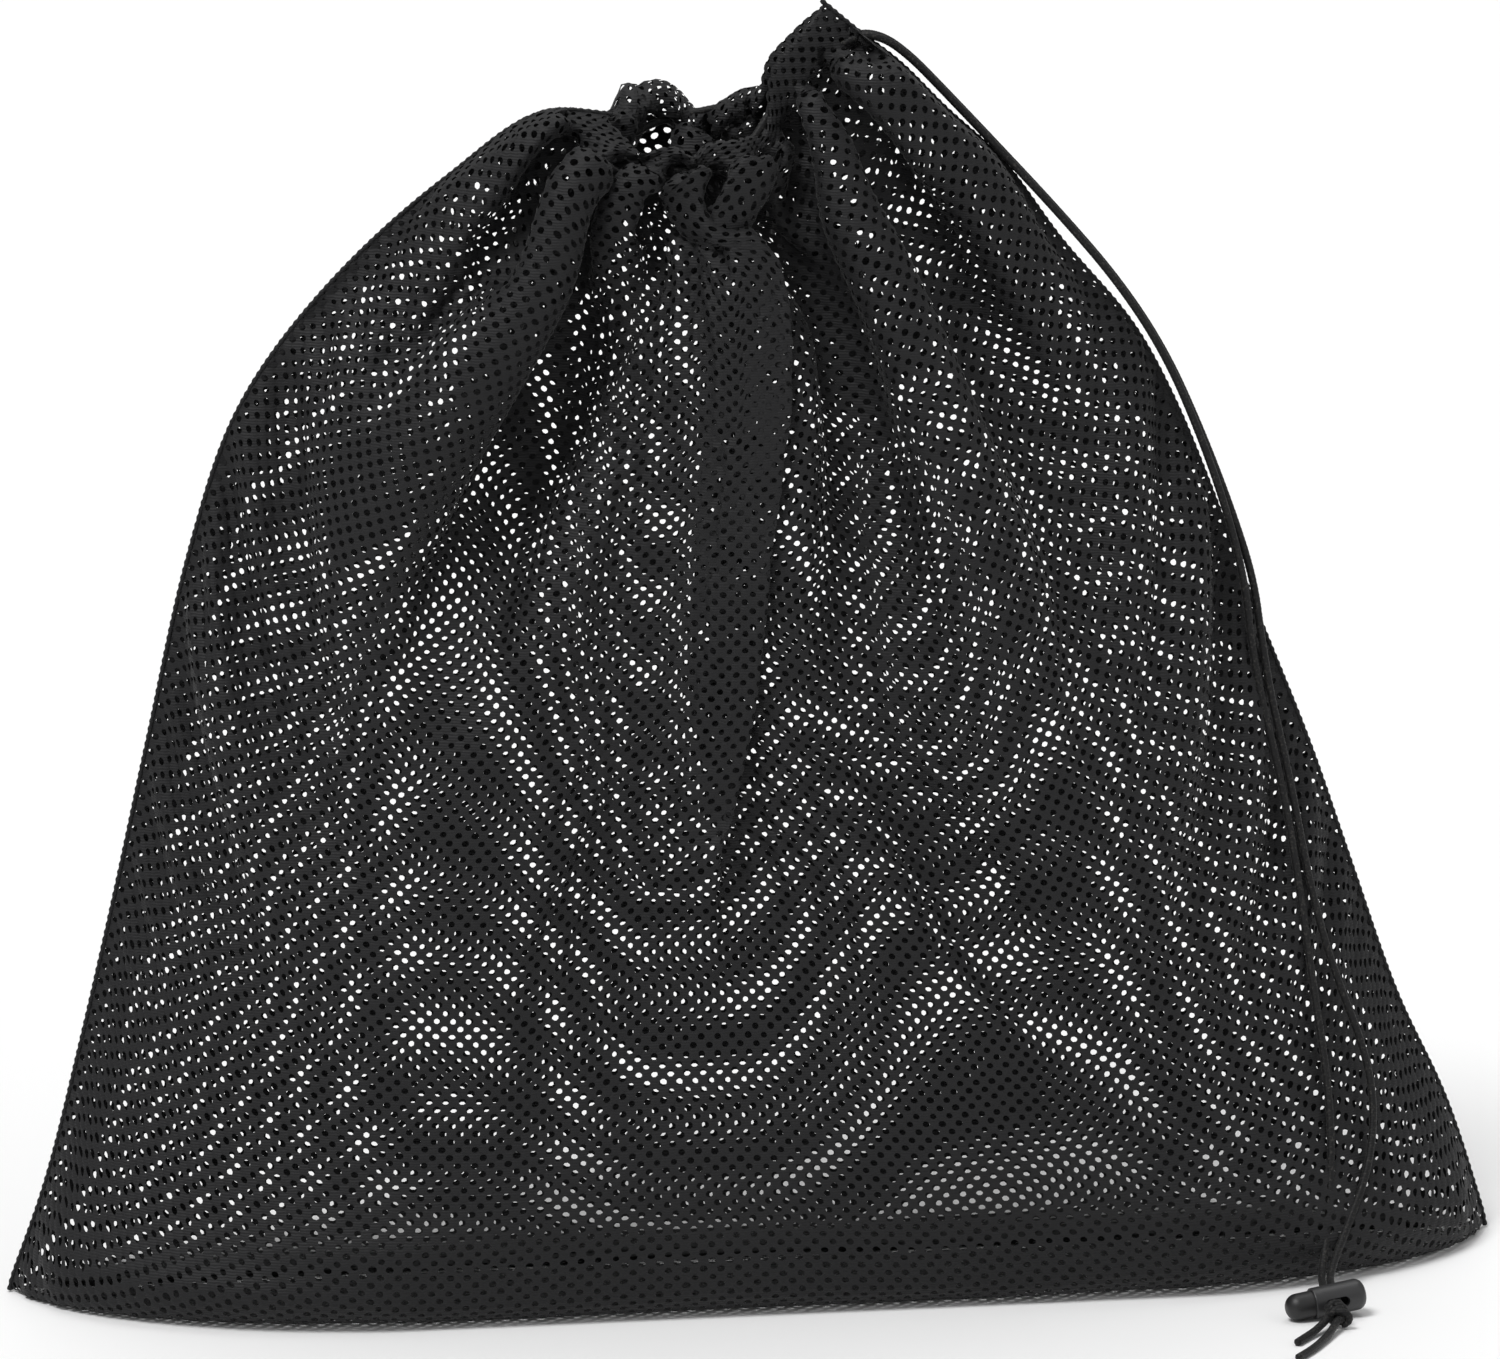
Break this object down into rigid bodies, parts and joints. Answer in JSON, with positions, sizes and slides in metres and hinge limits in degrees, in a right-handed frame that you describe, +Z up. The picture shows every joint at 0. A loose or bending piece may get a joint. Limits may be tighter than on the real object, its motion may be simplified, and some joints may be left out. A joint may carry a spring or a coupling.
{
  "type": "mesh laundry bag",
  "caption": "Drawstring laundry bag of open polyester mesh, standing half cinched, with a round cord, a spring barrel cord lock and a knotted end.",
  "frame": {"origin": "middle of the bag's own footprint on the surface that it stands on, without the free cord", "axes": "+X along the bag's width towards the side where the cord comes out, -Y out of the front panel, +Z up"},
  "size_m": [0.61, 0.2595, 0.526],
  "materials": {
    "mesh": "open knitted polyester mesh",
    "mesh_hem": "folded polyester mesh",
    "mesh_seam": "double polyester mesh",
    "cord": "braided polyester",
    "lock_plastic": "satin",
    "plunger_plastic": "satin",
    "spring_wire": "bright"
  },
  "bodies": {
    "bag": {"front_panel": "mesh", "back_panel": "mesh", "casing_front": "mesh_hem", "casing_back": "mesh_hem", "left_side_seam": "mesh_seam", "right_side_seam": "mesh_seam", "bottom_seam": "mesh_seam", "cord_in_casing": "cord", "cord_strand_a": "cord", "cord_strand_b": "cord", "cord_tail_a": "cord", "cord_tail_b": "cord", "end_knot": "cord"},
    "cord_lock": {"lock_barrel": "lock_plastic", "lock_spring": "spring_wire"},
    "lock_button": {"lock_plunger": "plunger_plastic"}
  },
  "joints": [
    {"name": "lock_slide", "type": "slide", "parent": "bag", "child": "cord_lock", "axis": [0.07, 0.9975, 0], "range_m": [0, 0.015]},
    {"name": "button_press", "type": "slide", "parent": "cord_lock", "child": "lock_button", "axis": [0.9753, 0.1896, 0.1132], "range_m": [0, 0.0025], "stiffness_N_per_m": 150, "springref_m": -0.004, "deforming": ["lock_spring"]}
  ]
}
